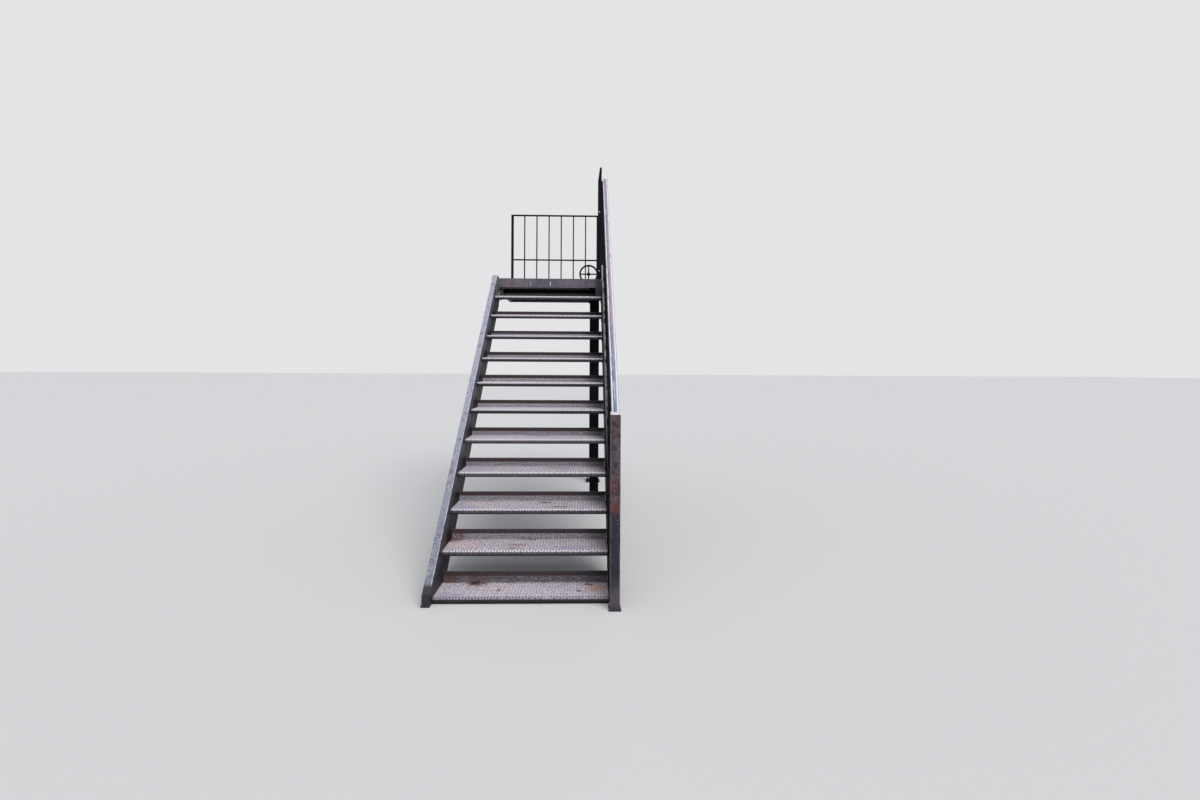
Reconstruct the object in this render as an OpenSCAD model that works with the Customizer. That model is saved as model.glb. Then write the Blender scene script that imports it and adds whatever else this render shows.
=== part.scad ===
// Straight steel exit stair that stands against a wall. Eleven formed treads run
// between two channel stringers up to a small landing, which a ledger on the wall
// and two posts carry. A picket guard closes the open side and the far end.
// X runs away from the wall, Y runs up the flight, Z is up. The origin lies on the
// wall face of the ledger, at the middle of its length and height.

/* [Flight] */
// Clear width between the webs of the two stringers
clear_w = 914; // [760:1:1200]
// Height of one step
rise = 180; // [165:1:195]
// Horizontal step from one nosing to the next
going = 192; // [180:1:215]
// Height of the first tread above the ground
first_tread_h = 35; // [35:1:60]

/* [Treads] */
// Depth of a tread from nosing to back upstand
tread_depth = 238; // [225:1:260]
// Thickness of the formed tread plate
tread_t = 5; // [4:0.5:6]
// Height of the folded front lip
lip_h = 30; // [26:1:33]
// Outside radius of the nosing fold
nosing_r = 8; // [6.5:0.5:10]
// Height of the folded back upstand above the tread
upstand_h = 26; // [20:1:40]
// Height of the kick bar behind the upstand
kick_bar_h = 51; // [42:1:60]
// Thickness of the kick bar
kick_bar_t = 5; // [4:0.5:8]
// Clearance between a tread and the stringer web
tread_gap = 3; // [1:0.5:6]
// Leg of the angles that carry the treads
carrier_leg = 25; // [20:1:28]
// Thickness of the carrier angles
carrier_t = 4; // [3:0.5:5]

/* [Stringers] */
// Depth of the stringer channel
stringer_d = 254; // [235:1:300]
// Width of the stringer flanges
stringer_flange = 40; // [34:1:60]
// Thickness of the stringer web
stringer_web = 5; // [4:0.5:8]
// Thickness of the stringer flanges
stringer_flange_t = 7; // [5:0.5:9]
// Height of the stringer's top edge over the nosing line, square to the slope
stringer_up = 45; // [30:1:55]
// Gap between the wall and the toes of the left stringer
wall_gap = 12; // [8:1:30]
// Length of the plates at the stringers' heads, along the flight
head_leg = 95; // [90:1:110]
// Width of the right head angle's leg on the landing's front
head_face = 50; // [40:1:60]
// Thickness of the head plate and the head angle
head_t = 5; // [4:0.5:8]
// Distance of the stringers' plumb cut in front of the first nosing
foot_ahead = 33; // [20:1:45]
// Thickness of the foot plates under the stringers
foot_plate_t = 8; // [6:0.5:8.5]
// Distance from the plumb cut to the middle of the foot's two anchor holes
foot_hole_run = 160; // [120:1:200]
// Spacing of the foot's two anchor holes
foot_hole_pitch = 100; // [60:1:120]
// Radius of the foot's anchor holes
foot_hole_r = 5.5; // [4:0.5:7]

/* [Landing] */
// Length of the landing along the flight
landing_len = 1170; // [950:1:1400]
// Depth of the landing's channel frame
frame_d = 70; // [65:1:90]
// Width of the frame's flanges
frame_flange = 38; // [32:1:50]
// Thickness of the frame's webs and flanges
frame_t = 6; // [5:0.5:8]
// Thickness of the chequered deck plate
deck_t = 6; // [5:0.5:8]
// Side of the square landing posts
post_w = 80; // [60:1:90]
// Wall thickness of the landing posts
post_wall = 5; // [4:0.5:8]
// Clearance between the top tread and the first post
post_clear = 9; // [5:1:60]
// Gap between a post and the plane of the right stringer's web
post_inset = 15; // [5:1:40]
// Side of the square base plates
base_w = 150; // [140:1:200]
// Thickness of the base plates
base_t = 10; // [8:0.5:16]
// Radius of the anchor bolt holes
anchor_r = 7; // [5:0.5:9]
// Spacing of the anchor holes in the wall ledger
ledger_pitch = 240; // [200:1:260]

/* [Stair guard] */
// Height of the handrail's top over the nosing line
rail_h = 1016; // [900:1:1100]
// Width of the moulded handrail
handrail_w = 41; // [36:1:50]
// Height of the moulded handrail
handrail_h = 22; // [18:1:30]
// Side of the square lower newel
newel_w = 51; // [45:1:60]
// Wall thickness of the lower newel
newel_wall = 4; // [3:0.5:6]
// Thickness of the plate on top of the lower newel
newel_cap_t = 12; // [8:1:16]
// Distance from the web's inner face to the middle of the stair guard
guard_out = 24; // [20:1:30]
// Thickness of the flat rails
rail_t = 10; // [8:0.5:14]
// Width of the flat rails
rail_w = 32; // [26:1:35]
// Side of a square picket
picket_w = 12; // [10:0.5:16]
// Spacing of the pickets
picket_pitch = 130; // [100:1:150]
// Height of the lower rail above the stringer's top edge
lower_rail_up = 70; // [50:1:120]
// Distance from the landing's front to the end of the handrail
handrail_short = 190; // [150:1:220]

/* [Landing guard] */
// Height of the landing guard above the deck
guard_h = 875; // [800:1:1000]
// Height of the upper newel above the landing guard
newel_above = 122; // [60:1:200]
// Width of the upper newel across the stair
upper_newel_w = 32; // [28:1:40]
// Distance that the upper newel's tip leans outwards
newel_lean = 9; // [0:1:10]
// Side of the square bars at the guard's corners and at the head of the stair guard
stanchion_w = 25; // [20:1:30]
// Height of the guard's bottom rail above the deck
bottom_rail_up = 125; // [60:1:130]
// Height of the middle rail of the end guard above the deck
mid_rail_up = 386; // [365:1:450]
// Outside diameter of the ring in front of the end guard
ring_d = 205; // [180:1:210]
// Width of the ring's flat bar
ring_bar = 18; // [14:0.5:20]
// Width of the ring's spokes
spoke_w = 13; // [9:0.5:16]
// Thickness of the ring's flat bar and spokes
ring_t = 10; // [6:0.5:10]
// Diameter of the boss where the spokes cross
boss_d = 38; // [28:1:44]

/* [Hidden] */

steel = "dimgray";
dark_paint = "darkslategray";
pale_rail = "thistle";
tread_count = 11;
angle = atan2(rise, going);
slope = rise / going;
fine = 32;

// Places across the stair
left_web = wall_gap + stringer_flange;
right_web = left_web + clear_w;
guard_x = right_web + guard_out;
post_x = right_web - post_inset - post_w / 2;
corner_newel_x = right_web - stanchion_w / 2;
wall_newel_x = wall_gap + stanchion_w / 2;
side_guard_x = right_web + rail_w / 2;
ring_x = right_web - stanchion_w + ring_bar - ring_d / 2;

// Places along the stair
head_clear = 7;
head_run = tread_depth + kick_bar_t - going + 2;
ledger_start = head_run + head_clear;
ledger_len = landing_len - ledger_start;
front_y = -ledger_start - ledger_len / 2;
back_y = front_y + landing_len;
foot_y = front_y - tread_count * going - foot_ahead;
newel_y = foot_y - newel_w / 2;
handrail_end_y = front_y - handrail_short;
post_ys = [front_y - going + tread_depth + kick_bar_t + post_clear + post_w / 2,
           back_y - frame_flange - post_w / 2];
joist_ys = [post_ys[0], (post_ys[0] + post_ys[1]) / 2, post_ys[1]];
newel_edge = 6;
corner_y = back_y - rail_w / 2;
upper_newel_y = front_y + newel_edge;

// Heights
frame_top = frame_d / 2;
deck_z = frame_top + deck_t;
ground_z = deck_z - first_tread_h - tread_count * rise;
left_head_up = 18;
right_head_up = 141;
head_low = nose_z(tread_count) + head_clear;
left_head_z = deck_z + left_head_up;
right_head_z = deck_z + right_head_up;
lap = 40;
right_head_run = head_run + lap;
post_top_t = 8;
post_h = -frame_d / 2 - post_top_t - ground_z - base_t;
newel_base_t = 8;
newel_top_z = rail_top(newel_y) - newel_cap_t;
plate_edge = 12;
anchor_edge = 20;
picket_slack = 4;
ring_z = deck_z + bottom_rail_up + rail_t / 2 + ring_d / 2;

function nose_y(i) = front_y - (tread_count + 1 - i) * going;
function nose_z(i) = deck_z - (tread_count + 1 - i) * rise;
// Height of the nosing line at a place along the stair
function nose_line(y) = deck_z + (y - front_y) * slope;
// Vertical measure of a thickness that is square to the slope
function steep(t) = t / cos(angle);
function stringer_top(y) = nose_line(y) + steep(stringer_up);
function rail_top(y) = nose_line(y) + rail_h;
function flat_rail_mid(y) = rail_top(y) - steep(handrail_h + rail_t / 2);
function lower_rail_mid(y) = stringer_top(y) + lower_rail_up;
// Points on an arc about c from angle a0 to a1
function arc(c, r, a0, a1, n = 6) =
    [for (k = [0 : n]) c + r * [cos(a0 + (a1 - a0) * k / n), sin(a0 + (a1 - a0) * k / n)]];

// An outline in the XZ plane carried along Y
module along_y(len) {
    rotate([90, 0, 0])
        translate([0, 0, -len])
            linear_extrude(len)
                children();
}

// An outline in the YZ plane carried along X
module along_x(len) {
    rotate([90, 0, 90])
        linear_extrude(len)
            children();
}

// Section of a rolled channel: web on the line x = 0, toes towards +x
module channel_section(depth, flange, web, thick) {
    h = depth / 2;
    root = min(web, thick);
    toe = thick * 0.4;
    polygon(concat(
        [[0, -h], [flange, -h]],
        arc([flange - toe, -h + thick - toe], toe, 0, 90, 3),
        arc([web + root, -h + thick + root], root, 270, 180, 4),
        arc([web + root, h - thick - root], root, 180, 90, 4),
        arc([flange - toe, h - thick + toe], toe, -90, 0, 3),
        [[flange, h], [0, h]]
    ));
}

// One stringer, its web's inner face on the plane x = 0 and its toes towards +x
module stringer_body(head_y, head_z) {
    low_z = ground_z + foot_plate_t;
    reach = (tread_count + 4) * going / cos(angle);
    intersection() {
        translate([0, foot_y, stringer_top(foot_y)])
            rotate([angle, 0, 0])
                translate([0, -going, -stringer_d / 2])
                    along_y(reach)
                        channel_section(stringer_d, stringer_flange, stringer_web, stringer_flange_t);
        translate([-1, foot_y, low_z])
            cube([stringer_flange + 2, head_y - foot_y, head_z - low_z]);
    }
}

module left_stringer() {
    color(steel)
        translate([left_web, 0, 0])
            mirror([1, 0, 0])
                stringer_body(front_y + head_run, left_head_z);
}

module right_stringer() {
    color(steel)
        translate([right_web, 0, 0])
            stringer_body(front_y + right_head_run, right_head_z);
}

// Section of a tread with its nosing at the origin: lip, plate, upstand and kick bar
module tread_section() {
    r_in = nosing_r - tread_t;
    end = tread_depth + kick_bar_t;
    polygon(concat(
        [[0, -lip_h]],
        arc([nosing_r, -nosing_r], nosing_r, 180, 90),
        arc([tread_depth - tread_t - r_in, r_in], r_in, -90, 0),
        [[tread_depth - tread_t, upstand_h], [tread_depth, upstand_h], [tread_depth, kick_bar_h]],
        [[end, kick_bar_h], [end, 0], [tread_depth, 0]],
        arc([tread_depth - nosing_r, nosing_r - tread_t], nosing_r, 0, -90),
        arc([nosing_r, -nosing_r], r_in, 90, 180),
        [[tread_t, -lip_h]]
    ));
}

module tread(i) {
    color("slategray")
        translate([left_web + tread_gap, nose_y(i), nose_z(i)])
            along_x(clear_w - 2 * tread_gap)
                tread_section();
}

module tread_01() { tread(1); }
module tread_02() { tread(2); }
module tread_03() { tread(3); }
module tread_04() { tread(4); }
module tread_05() { tread(5); }
module tread_06() { tread(6); }
module tread_07() { tread(7); }
module tread_08() { tread(8); }
module tread_09() { tread(9); }
module tread_10() { tread(10); }
module tread_11() { tread(11); }

// Angle under one end of every tread, its upright leg on the plane x = 0
module carrier_angles() {
    start = 3 * tread_t;
    for (i = [1 : tread_count])
        translate([0, nose_y(i) + start, nose_z(i) - tread_t])
            along_y(tread_depth - start)
                polygon([[0, 0], [carrier_leg, 0], [carrier_leg, -carrier_t], [carrier_t, -carrier_t],
                         [carrier_t, -carrier_leg], [0, -carrier_leg]]);
}

module left_tread_angles() {
    color(steel)
        translate([left_web, 0, 0])
            carrier_angles();
}

module right_tread_angles() {
    color(steel)
        translate([right_web, 0, 0])
            mirror([1, 0, 0])
                carrier_angles();
}

// Plate under a stringer's level cut, with two anchor holes between web and toes
module foot_plate(ahead) {
    cut_len = (steep(stringer_d) - stringer_top(foot_y) + ground_z + foot_plate_t) / slope;
    mid_x = (stringer_web + stringer_flange) / 2;
    difference() {
        translate([0, foot_y - ahead, ground_z])
            cube([stringer_flange + wall_gap / 2, cut_len + ahead, foot_plate_t]);
        for (side = [-1, 1])
            translate([mid_x, foot_y + foot_hole_run + side * foot_hole_pitch / 2, ground_z - 1])
                cylinder(h = foot_plate_t + 2, r = foot_hole_r, $fn = fine);
    }
}

// Turned up in front, where it closes the channel's plumb cut
module left_foot_plate() {
    color(steel)
        translate([left_web, 0, 0])
            mirror([1, 0, 0])
                union() {
                    foot_plate(foot_plate_t);
                    translate([0, foot_y - foot_plate_t, ground_z])
                        cube([stringer_flange, foot_plate_t, stringer_top(foot_y) - ground_z]);
                }
}

module right_foot_plate() {
    color(steel)
        translate([right_web, 0, 0])
            foot_plate(0);
}

// Plate on the inner face of a stringer's web, against the landing's front
module head_plate() {
    top_run = (deck_z + steep(stringer_up) - frame_top) / slope;
    far_y = front_y - head_leg;
    along_x(head_t)
        polygon([[far_y, head_low], [front_y, head_low], [front_y, frame_top], [front_y - top_run, frame_top],
                 [far_y, stringer_top(far_y)]]);
}

module left_head_plate() {
    color(steel)
        translate([left_web, 0, 0])
            head_plate();
}

// The same plate with a second leg that laps the face of the landing's front channel
module right_head_angle() {
    color(steel)
        union() {
            translate([right_web - head_t, 0, 0])
                head_plate();
            translate([right_web - head_face, front_y - head_t, head_low])
                cube([head_face, head_t, frame_top - head_low]);
        }
}

module frame_section() {
    channel_section(frame_d, frame_flange, frame_t, frame_t);
}

// Keeps what lies over the outline seen from above, for mitred corners
module trimmed(outline) {
    intersection() {
        translate([0, 0, -frame_d])
            linear_extrude(2 * frame_d)
                polygon(outline);
        children();
    }
}

module wall_ledger() {
    start = -ledger_len / 2;
    color(steel)
        difference() {
            trimmed([[0, start], [frame_flange, start], [frame_flange, back_y - frame_flange], [0, back_y]])
                translate([0, start, 0])
                    along_y(ledger_len)
                        frame_section();
            for (k = [-1.5 : 1 : 1.5])
                translate([-1, k * ledger_pitch, 0])
                    rotate([0, 90, 0])
                        cylinder(h = frame_t + 2, r = anchor_r, $fn = fine);
        }
}

module landing_front_channel() {
    inner_y = front_y + frame_flange;
    color(steel)
        trimmed([[left_web, front_y], [right_web, front_y], [right_web - frame_flange, inner_y],
                 [left_web, inner_y]])
            translate([left_web, front_y, 0])
                along_x(clear_w)
                    frame_section();
}

module landing_rear_channel() {
    inner_y = back_y - frame_flange;
    color(steel)
        trimmed([[0, back_y], [frame_flange, inner_y], [right_web - frame_flange, inner_y],
                 [right_web, back_y]])
            translate([0, back_y, 0])
                mirror([0, 1, 0])
                    along_x(right_web)
                        frame_section();
}

module landing_right_channel() {
    inner_x = right_web - frame_flange;
    color(steel)
        trimmed([[right_web, front_y], [right_web, back_y], [inner_x, back_y - frame_flange],
                 [inner_x, front_y + frame_flange]])
            translate([right_web, front_y, 0])
                mirror([1, 0, 0])
                    along_y(landing_len)
                        frame_section();
}

// Channels across the landing, their webs running on between the side channels' flanges
module landing_joists() {
    tongue = frame_d - 4 * frame_t;
    color(steel)
        for (y = joist_ys)
            translate([0, y - frame_flange / 2, 0])
                union() {
                    translate([frame_flange, 0, 0])
                        along_x(right_web - 2 * frame_flange)
                            frame_section();
                    translate([frame_t, 0, -tongue / 2])
                        cube([right_web - 2 * frame_t, frame_t, tongue]);
                }
}

module landing_deck() {
    color("slategray")
        translate([0, 0, frame_top])
            linear_extrude(deck_t)
                polygon([[left_web, front_y], [right_web, front_y], [right_web, back_y], [0, back_y],
                         [0, front_y + ledger_start], [left_web, front_y + ledger_start]]);
}

// Square tube standing on z = 0
module square_tube(side, wall, h) {
    linear_extrude(h)
        difference() {
            square(side, center = true);
            square(side - 2 * wall, center = true);
        }
}

module landing_post(k) {
    color(dark_paint)
        translate([post_x, post_ys[k], ground_z + base_t])
            square_tube(post_w, post_wall, post_h);
}

module front_post() { landing_post(0); }
module rear_post() { landing_post(1); }

// Square plate on the ground with four anchor holes near its corners
module base_plate(side, thick, hole_r, pitch) {
    difference() {
        translate([-side / 2, -side / 2, 0])
            cube([side, side, thick]);
        for (sx = [-1, 1], sy = [-1, 1])
            translate([sx * pitch / 2, sy * pitch / 2, -1])
                cylinder(h = thick + 2, r = hole_r, $fn = fine);
    }
}

module post_base(k) {
    color(dark_paint)
        translate([post_x, post_ys[k], ground_z])
            base_plate(base_w, base_t, anchor_r, base_w - 2 * anchor_edge);
}

module front_post_base() { post_base(0); }
module rear_post_base() { post_base(1); }

module post_top_plates() {
    side = post_w + 2 * plate_edge;
    color(dark_paint)
        for (y = post_ys)
            translate([post_x - side / 2, y - side / 2, -frame_d / 2 - post_top_t])
                cube([side, side, post_top_t]);
}

module newel_base() {
    side = newel_w + plate_edge;
    color(dark_paint)
        translate([guard_x - side / 2, foot_y - side, ground_z])
            cube([side, side, newel_base_t]);
}

module lower_newel() {
    color(dark_paint)
        translate([guard_x, newel_y, ground_z + newel_base_t])
            square_tube(newel_w, newel_wall, newel_top_z - ground_z - newel_base_t);
}

module newel_cap() {
    color(pale_rail)
        translate([guard_x - newel_w / 2, newel_y - newel_w / 2, newel_top_z])
            cube([newel_w, newel_w, newel_cap_t]);
}

// Section of the moulded handrail on the line y = 0: two ridges and a groove
module handrail_section() {
    half = handrail_w / 2;
    ridge = handrail_w / 6;
    groove = half - 2 * ridge + 1;
    polygon(concat(
        [[-half, 0]],
        arc([-half + ridge, handrail_h - ridge], ridge, 180, 30),
        arc([0, handrail_h - 2], groove - 1, 180, 360),
        arc([half - ridge, handrail_h - ridge], ridge, 150, 0),
        [[half, 0]]
    ));
}

// A bar in the guard's plane that follows the slope, trimmed plumb at both ends
module sloping_bar(y0, y1, mid_offset) {
    reach = (y1 - y0) / cos(angle) + 4 * newel_w;
    intersection() {
        translate([guard_x, y0, nose_line(y0) + mid_offset])
            rotate([angle, 0, 0])
                translate([0, -2 * newel_w, 0])
                    along_y(reach)
                        children();
        translate([guard_x - handrail_w, y0, nose_line(y0) - going])
            cube([2 * handrail_w, y1 - y0, (y1 - y0) * slope + 2 * rail_h]);
    }
}

module stair_handrail() {
    cap_z = newel_top_z + newel_cap_t;
    color(pale_rail)
        difference() {
            sloping_bar(newel_y, handrail_end_y, rail_h - steep(handrail_h))
                handrail_section();
            translate([guard_x - newel_w, newel_y - newel_w, cap_z - rail_h])
                cube([2 * newel_w, foot_y - newel_y + newel_w, rail_h]);
        }
}

// Upright of the stair guard, w thick; a long one reaches down to the stringer
module upright(y, w, long) {
    h = w / 2;
    low = long ? stringer_top(y) : lower_rail_mid(y);
    high = flat_rail_mid(y);
    translate([guard_x - h, 0, 0])
        along_x(w)
            polygon([[y - h, low - h * slope], [y + h, low + h * slope],
                     [y + h, high + h * slope], [y - h, high - h * slope]]);
}

module stair_guard() {
    head_y = handrail_end_y - stanchion_w / 2;
    count = floor((head_y - foot_y - picket_pitch / 2) / picket_pitch);
    color(dark_paint)
        union() {
            sloping_bar(foot_y, handrail_end_y, rail_h - steep(handrail_h + rail_t))
                translate([-rail_w / 2, 0])
                    square([rail_w, rail_t]);
            sloping_bar(foot_y, handrail_end_y, steep(stringer_up) + lower_rail_up - steep(rail_t / 2))
                translate([-rail_w / 2, 0])
                    square([rail_w, rail_t]);
            upright(head_y, stanchion_w, true);
            for (k = [1 : count])
                upright(head_y - k * picket_pitch, picket_w, k % 5 == 0);
        }
}

// Bar at the head of the stair, drawn out and leaning outwards above the guard
module upper_newel() {
    h = upper_newel_w / 2;
    tip = 0.27 * upper_newel_w;
    top = guard_h + newel_above;
    color("black")
        translate([right_web - h, upper_newel_y, deck_z])
            along_y(stanchion_w)
                polygon([[-h, 0], [h, 0], [h, guard_h], [newel_lean + tip, top], [newel_lean - tip, top],
                         [-h, guard_h]]);
}

module stanchion(x, y) {
    h = stanchion_w / 2;
    color("black")
        translate([x - h, y - h, deck_z])
            cube([stanchion_w, stanchion_w, guard_h]);
}

module corner_newel() { stanchion(corner_newel_x, corner_y); }
module wall_newel() { stanchion(wall_newel_x, corner_y); }

// Flat guard panel on the line x = 0, its top and bottom rails ending at end_y
module guard_panel(top_y, bottom_y, end_y, picket_ys) {
    translate([-rail_w / 2, top_y, guard_h - rail_t])
        cube([rail_w, end_y - top_y, rail_t]);
    translate([-rail_w / 2, bottom_y, bottom_rail_up - rail_t / 2])
        cube([rail_w, end_y - bottom_y, rail_t]);
    for (y = picket_ys)
        translate([-picket_w / 2, y - picket_w / 2, bottom_rail_up])
            cube([picket_w, picket_w, guard_h - bottom_rail_up - rail_t / 2]);
}

// Panel on the outer faces of the newels, its bottom rail starting at the stringer's head
module landing_side_guard() {
    start = front_y + right_head_run;
    end = corner_y + stanchion_w / 2;
    count = floor((corner_y - picket_w / 2 - start) / picket_pitch);
    color("black")
        translate([side_guard_x, 0, deck_z])
            guard_panel(upper_newel_y, start, end, [for (k = [1 : count]) corner_y - k * picket_pitch]);
}

module landing_end_guard() {
    span = corner_newel_x - wall_newel_x;
    pitch = span / ceil(span / (picket_pitch + picket_slack));
    start = stanchion_w / 2;
    color("black")
        translate([wall_newel_x, corner_y, deck_z])
            rotate([0, 0, -90])
                union() {
                    guard_panel(start, start, span - start, [pitch : pitch : span - pitch / 2]);
                    translate([-rail_w / 2, start, mid_rail_up - rail_t / 2])
                        cube([rail_w, span - stanchion_w, rail_t]);
                }
}

// Ring with four spokes, standing on the bottom rail in front of the corner newel
module guard_ring() {
    reach = ring_d - ring_bar;
    color("black")
        translate([ring_x, corner_y - stanchion_w / 2, ring_z])
            rotate([90, 0, 0])
                union() {
                    difference() {
                        cylinder(h = ring_t, d = ring_d, $fn = 64);
                        translate([0, 0, -1])
                            cylinder(h = ring_t + 2, d = ring_d - 2 * ring_bar, $fn = 64);
                    }
                    cylinder(h = ring_t, d = boss_d, $fn = fine);
                    translate([-reach / 2, -spoke_w / 2, 0])
                        cube([reach, spoke_w, ring_t]);
                    translate([-spoke_w / 2, -reach / 2, 0])
                        cube([spoke_w, reach, ring_t]);
                }
}

// Flat bar from the end of the stair guard's top rail to the landing's top rail
module guard_link() {
    near_x = guard_x - rail_w / 2;
    low_z = flat_rail_mid(handrail_end_y) - steep(rail_t) / 2;
    top_z = deck_z + guard_h;
    color("black")
        translate([near_x, 0, 0])
            along_x(side_guard_x + rail_w / 2 - near_x)
                polygon([[handrail_end_y, low_z], [upper_newel_y, top_z - rail_t], [upper_newel_y, top_z],
                         [handrail_end_y, low_z + steep(rail_t)]]);
}

left_stringer();
right_stringer();
tread_01();
tread_02();
tread_03();
tread_04();
tread_05();
tread_06();
tread_07();
tread_08();
tread_09();
tread_10();
tread_11();
left_tread_angles();
right_tread_angles();
left_foot_plate();
right_foot_plate();
left_head_plate();
right_head_angle();
wall_ledger();
landing_front_channel();
landing_rear_channel();
landing_right_channel();
landing_joists();
landing_deck();
front_post();
rear_post();
front_post_base();
rear_post_base();
post_top_plates();
lower_newel();
newel_base();
newel_cap();
stair_handrail();
stair_guard();
upper_newel();
corner_newel();
wall_newel();
landing_side_guard();
landing_end_guard();
guard_ring();
guard_link();
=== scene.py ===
# %% [markdown]
# # A straight steel exit stair
# The solids of the stair come from the packed CAD part and stay as they are.
# This lesson adds what steelwork has besides its solids: the raised lugs of
# chequered plate, weld beads, bolts and anchors, and the worn paint.
# Everything is in metres. X runs across the stair, Y up the flight, Z up.

# %% Load the frame
import math

import bpy
import numpy as np
from mathutils import Matrix, Vector


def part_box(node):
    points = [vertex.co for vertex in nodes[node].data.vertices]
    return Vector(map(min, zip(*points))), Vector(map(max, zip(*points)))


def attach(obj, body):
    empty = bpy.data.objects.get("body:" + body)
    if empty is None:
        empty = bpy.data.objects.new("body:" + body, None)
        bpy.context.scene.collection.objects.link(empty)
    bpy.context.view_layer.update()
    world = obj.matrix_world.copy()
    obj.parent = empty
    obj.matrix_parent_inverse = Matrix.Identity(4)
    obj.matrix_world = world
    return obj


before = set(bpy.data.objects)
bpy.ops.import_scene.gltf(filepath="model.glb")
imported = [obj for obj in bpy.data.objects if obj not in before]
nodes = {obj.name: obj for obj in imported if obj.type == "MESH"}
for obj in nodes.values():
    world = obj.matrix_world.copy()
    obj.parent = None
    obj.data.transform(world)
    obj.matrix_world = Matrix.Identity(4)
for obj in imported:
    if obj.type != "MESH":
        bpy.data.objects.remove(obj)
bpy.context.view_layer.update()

scene = bpy.context.scene
print("solids from the frame:", len(nodes))

# %% [markdown]
# ## Measures
# The added pieces follow the same few sizes as the solids do. They could be
# typed in as places, but then nothing would fit after a change. So they are
# read from the boxes of the solids, and what no box gives is written once.

# %% Measures of the stair
low, high = (np.array(c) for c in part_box("tread_01"))
left_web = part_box("left_stringer")[1][0]
right_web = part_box("right_stringer")[0][0]
ground_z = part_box("front_post_base")[0][2]
deck_low, deck_high = (np.array(c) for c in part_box("landing_deck"))
front_y, back_y = deck_low[1], deck_high[1]
deck_z = deck_high[2]
tread_count = 11
going = (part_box("tread_11")[0][1] - low[1]) / (tread_count - 1)
rise = (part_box("tread_11")[0][2] - low[2]) / (tread_count - 1)
slope = rise / going
pitch_angle = math.atan2(rise, going)
foot_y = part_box("right_stringer")[0][1]
tread_t = 0.005
lip_h = 0.030
nosing_r = 0.008
tread_depth = 0.238
upstand_h = 0.026
kick_bar_h = 0.051
stringer_up = 0.045
print("going", round(going, 4), "rise", round(rise, 4), "ground", round(ground_z, 4))


def nose(i):
    """Left end of the nosing line of tread i, counted from 1 at the ground."""
    return np.array([low[0], low[1] + (i - 1) * going, low[2] + lip_h + (i - 1) * rise])


def steep(thickness):
    """Upright measure of a thickness that is square to the slope."""
    return thickness / math.cos(pitch_angle)


def stringer_top(y):
    """Height of the stringers' top edge at a place along the stair."""
    return deck_z + (y - front_y) * slope + steep(stringer_up)


# %% [markdown]
# ## The camera
# The photograph looks up the flight from its foot, through a wide lens that
# was held level. The lines of the treads, the newel and the landing were
# matched to give the place, the turn and the focal length below. The picture
# was trimmed a little at its lower edge, which the small shift repeats.

# %% The camera
image_w = 1200
focal_px = 565.1
horizon_up_px = 31
camera_place = (0.8435, -5.6471, -0.7601)
turn = math.radians(1.324)
roll = math.radians(0.3)
camera_data = bpy.data.cameras.new("level_camera")
camera_data.sensor_fit = "HORIZONTAL"
camera_data.sensor_width = 36
camera_data.lens = focal_px * camera_data.sensor_width / image_w
camera_data.shift_y = -horizon_up_px / image_w
camera = bpy.data.objects.new("level_camera", camera_data)
camera.matrix_world = (
    Matrix.Translation(camera_place)
    @ Matrix.Rotation(-turn, 4, "Z")
    @ Matrix.Rotation(math.pi / 2, 4, "X")
    @ Matrix.Rotation(roll, 4, "Z")
)
scene.collection.objects.link(camera)
scene.camera = camera
scene.view_settings.view_transform = "Standard"
print("lens", round(camera_data.lens, 2), "mm")

# %% [markdown]
# ## Meshes from numpy
# Each new piece is a set of points worked out as whole arrays, and faces that
# index them. That is quicker than adding corners one by one, and the formula
# stays in view. One function puts them into a mesh, and one makes the object,
# gives it a finish and lets it ride on the stair.

# %% Mesh and object
def make_mesh(name, points, *face_sets):
    """A mesh from points (n, 3) and arrays of faces, each (faces, corners)."""
    mesh = bpy.data.meshes.new(name)
    points = np.asarray(points, np.float32).reshape(-1, 3)
    corners = np.concatenate([f.ravel() for f in face_sets]).astype(np.int32)
    sizes = np.concatenate([np.full(len(f), f.shape[1]) for f in face_sets])
    starts = np.concatenate([[0], np.cumsum(sizes)[:-1]])
    mesh.vertices.add(len(points))
    mesh.vertices.foreach_set("co", points.ravel())
    mesh.loops.add(len(corners))
    mesh.loops.foreach_set("vertex_index", corners)
    mesh.polygons.add(len(sizes))
    mesh.polygons.foreach_set("loop_start", starts.astype(np.int32))
    mesh.update(calc_edges=True)
    mesh.validate()
    return mesh


def add_piece(name, mesh, finish, smooth=False):
    """An object at the origin that shows the mesh, rides on the stair and has a finish."""
    piece = bpy.data.objects.new(name, mesh)
    scene.collection.objects.link(piece)
    mesh.materials.append(finish)
    mesh.polygons.foreach_set("use_smooth", np.full(len(mesh.polygons), smooth))
    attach(piece, "root")
    triangles = sum(len(p.vertices) - 2 for p in mesh.polygons)
    print(f"{name}: {triangles} triangles")


# %% Faces of grids and of repeated shapes
def grid_faces(rows, columns, wrap=True, closed=False):
    """Quads of a grid, joined round its columns with wrap and round its rows with closed."""
    r, c = np.meshgrid(np.arange(rows if closed else rows - 1),
                       np.arange(columns if wrap else columns - 1), indexing="ij")
    n = (c + 1) % columns
    up = (r + 1) % rows
    quads = [r * columns + c, r * columns + n, up * columns + n, up * columns + c]
    return np.stack(quads, -1).reshape(-1, 4)


def repeat_faces(faces, count, points_each):
    """The same faces for count copies of a shape that has points_each points."""
    shifts = np.arange(count)[:, None, None] * points_each
    return (faces[None] + shifts).reshape(-1, faces.shape[1])


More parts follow.
